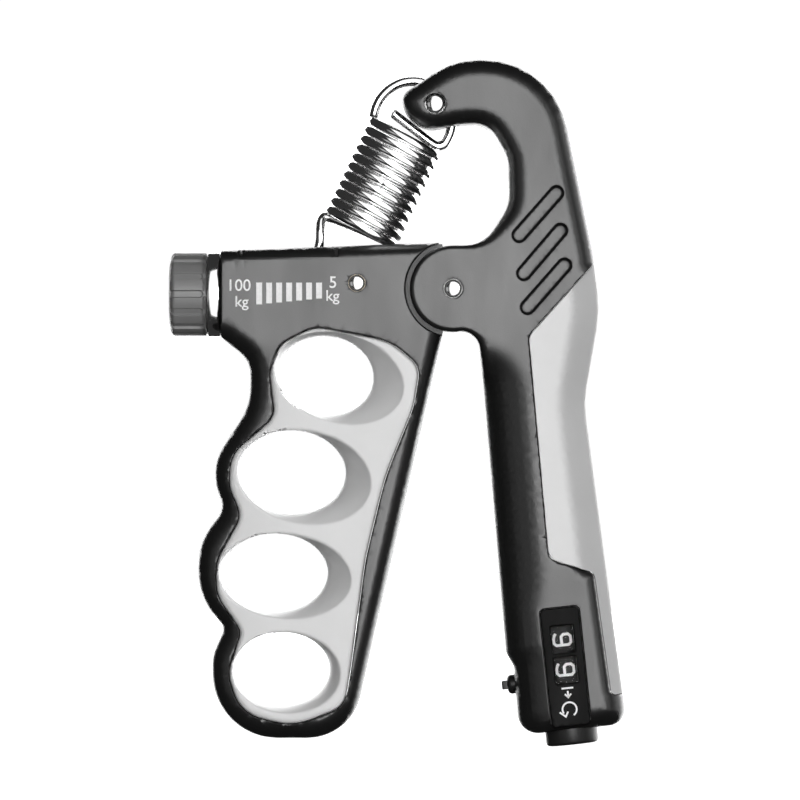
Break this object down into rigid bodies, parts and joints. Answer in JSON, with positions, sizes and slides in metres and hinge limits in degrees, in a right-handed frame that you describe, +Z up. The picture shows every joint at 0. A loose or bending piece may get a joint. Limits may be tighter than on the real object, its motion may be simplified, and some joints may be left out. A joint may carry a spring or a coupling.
{
  "type": "hand dynamometer",
  "caption": "Hand grip exerciser with a pivoting palm lever, four finger holes, extension spring set by a side knob, and a press counter with a push-turn reset.",
  "frame": {"origin": "middle of the overall box at its lowest point, in the upright pose of the picture", "axes": "+X from the finger handle to the palm lever, +Y from the front face to the back, +Z up towards the spring"},
  "size_m": [0.1092, 0.026, 0.1644],
  "materials": {
    "shell_grey": "satin moulded",
    "insert_grey": "satin moulded",
    "pad_grey": "soft-touch overmould",
    "knob_dark": "satin moulded",
    "black_plastic": "matt",
    "faceplate_black": "semi-gloss printed",
    "wheel_black": "matt with white digits",
    "white_plastic": "natural acetal",
    "window_clear": "clear",
    "chrome": "polished",
    "steel": "turned",
    "spring_steel": "bright nickel-plated wire",
    "brass": "turned",
    "screw_black": "blacked"
  },
  "bodies": {
    "grip": {"grip_shell_front": "shell_grey", "grip_shell_rear": "shell_grey", "finger_insert": "insert_grey", "barrel_collar": "chrome", "thrust_washer": "steel", "screw_bush": "brass", "screw_end_block": "brass", "barrel_pin": "chrome", "slot_liner": "black_plastic", "pivot_bush": "brass", "grip_screws": "screw_black"},
    "adjuster": {"adjuster_knob": "knob_dark", "knob_screw": "screw_black", "lead_screw": "steel", "retaining_clip": "steel"},
    "carriage": {"carriage": "white_plastic", "hook_pin": "steel"},
    "lever": {"lever_shell_front": "shell_grey", "lever_shell_rear": "shell_grey", "palm_pad": "pad_grey", "main_pivot_pin": "chrome", "pivot_washers": "steel", "spring_pin": "chrome", "lever_screws": "screw_black", "counter_frame": "brass", "counter_faceplate": "faceplate_black", "window_lens": "window_clear", "wheel_shaft": "steel", "stop_pawl": "steel", "trigger_spring": "spring_steel", "reset_spring": "spring_steel"},
    "tens": {"tens_wheel": "wheel_black"},
    "units": {"units_wheel": "wheel_black", "ratchet_wheel": "white_plastic"},
    "trigger": {"trigger_plunger": "black_plastic", "drive_pawl": "steel"},
    "reset_carrier": {"reset_plunger": "steel"},
    "reset_knob": {"reset_knob": "black_plastic"},
    "spring_sleeve": {"spring_sleeve": "steel"},
    "spring_top": {"spring_head": "spring_steel"},
    "spring_middle": {"spring_coil": "spring_steel"},
    "spring_bottom": {"spring_foot": "spring_steel"}
  },
  "joints": [
    {"name": "lever_pivot", "type": "hinge", "parent": "grip", "child": "lever", "pos_m": [0.0135, 0, 0.1097], "axis": [0, 1, 0], "range_deg": [0, 18.5], "stiffness_Nm_per_rad": 4, "springref_deg": -8.59},
    {"name": "knob_turn", "type": "hinge", "parent": "grip", "child": "adjuster", "pos_m": [-0.05, 0, 0.1084], "axis": [1, 0, 0], "range_deg": [0, 2772]},
    {"name": "carriage_slide", "type": "slide", "parent": "grip", "child": "carriage", "axis": [-1, 0, 0], "range_m": [0, 0.0154]},
    {"name": "spring_swing_with_lever", "type": "hinge", "parent": "lever", "child": "spring_top", "pos_m": [0.0092, 0, 0.1539], "axis": [0, 1, 0], "range_deg": [-7.3, 0]},
    {"name": "spring_swing_with_knob", "type": "hinge", "parent": "spring_top", "child": "spring_sleeve", "pos_m": [0.0092, 0, 0.1539], "axis": [0, 1, 0], "range_deg": [0, 11.32]},
    {"name": "spring_stretch_with_lever", "type": "slide", "parent": "spring_sleeve", "child": "spring_middle", "axis": [-0.5725, 0, -0.8199], "range_m": [0, 0.0094], "deforming": ["spring_coil", "spring_head"]},
    {"name": "spring_stretch_with_knob", "type": "slide", "parent": "spring_middle", "child": "spring_bottom", "axis": [-0.5725, 0, -0.8199], "range_m": [0, 0.0109], "deforming": ["spring_foot"]},
    {"name": "trigger_press", "type": "slide", "parent": "lever", "child": "trigger", "axis": [0.9945, 0, 0.1045], "range_m": [0, 0.0019], "stiffness_N_per_m": 300, "springref_m": -0.002, "deforming": ["trigger_spring"]},
    {"name": "reset_push", "type": "slide", "parent": "lever", "child": "reset_carrier", "axis": [-0.1045, 0, 0.9945], "range_m": [0, 0.0018], "stiffness_N_per_m": 1500, "springref_m": -0.003, "deforming": ["reset_spring"]},
    {"name": "reset_turn", "type": "hinge", "parent": "reset_carrier", "child": "reset_knob", "pos_m": [0.04199, -0.0022, 0.00298], "axis": [-0.1045, 0, 0.9945], "range_deg": [0, 3600]},
    {"name": "units_turn", "type": "hinge", "parent": "lever", "child": "units", "pos_m": [0.04034, -0.0022, 0.0186], "axis": [-0.1045, 0, 0.9945], "range_deg": [0, 3600]},
    {"name": "tens_turn", "type": "hinge", "parent": "lever", "child": "tens", "pos_m": [0.03959, -0.0022, 0.02576], "axis": [-0.1045, 0, 0.9945], "range_deg": [0, 360]}
  ],
  "couplings": [
    {"joint": "carriage_slide", "follows": "knob_turn", "m_per_rad": 0.00031831},
    {"joint": "spring_swing_with_lever", "follows": "lever_pivot", "ratio": -0.39405},
    {"joint": "spring_swing_with_knob", "follows": "knob_turn", "ratio": 0.0040801},
    {"joint": "spring_stretch_with_lever", "follows": "lever_pivot", "m_per_rad": 0.02905},
    {"joint": "spring_stretch_with_knob", "follows": "knob_turn", "m_per_rad": 0.00022426},
    {"joint": "units_turn", "follows": "reset_turn", "ratio": 1},
    {"joint": "tens_turn", "follows": "reset_turn", "ratio": 0.1}
  ]
}
